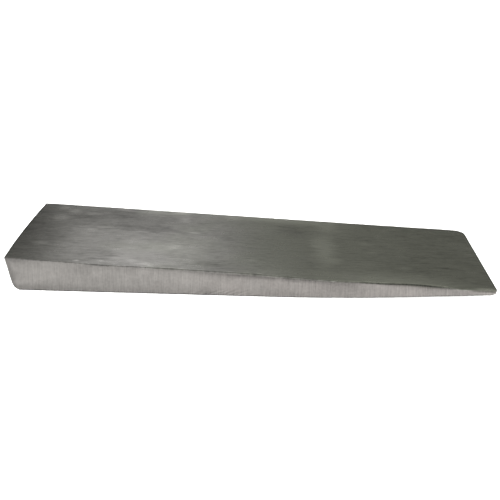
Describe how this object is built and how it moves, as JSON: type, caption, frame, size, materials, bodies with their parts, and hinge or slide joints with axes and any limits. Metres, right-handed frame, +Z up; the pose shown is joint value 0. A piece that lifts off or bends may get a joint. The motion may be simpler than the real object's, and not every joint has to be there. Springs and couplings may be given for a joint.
{
  "type": "wedge chock",
  "caption": "Solid steel wedge with a long shallow ramp, slid or driven under a wheel or a load to hold it where it stands.",
  "frame": {"origin": "on the ground, under the middle of the box that holds the wedge", "axes": "+X from the thick butt to the thin tip, +Y across the width to the side that has the tip's larger rounded corner, +Z up"},
  "size_m": [0.241, 0.055, 0.02],
  "materials": {
    "steel": "bare ground steel: long fine scratches on the ramp and sole, short upright grinding marks on the sides and butt"
  },
  "bodies": {
    "root": {"wedge_body": "steel"}
  },
  "joints": []
}
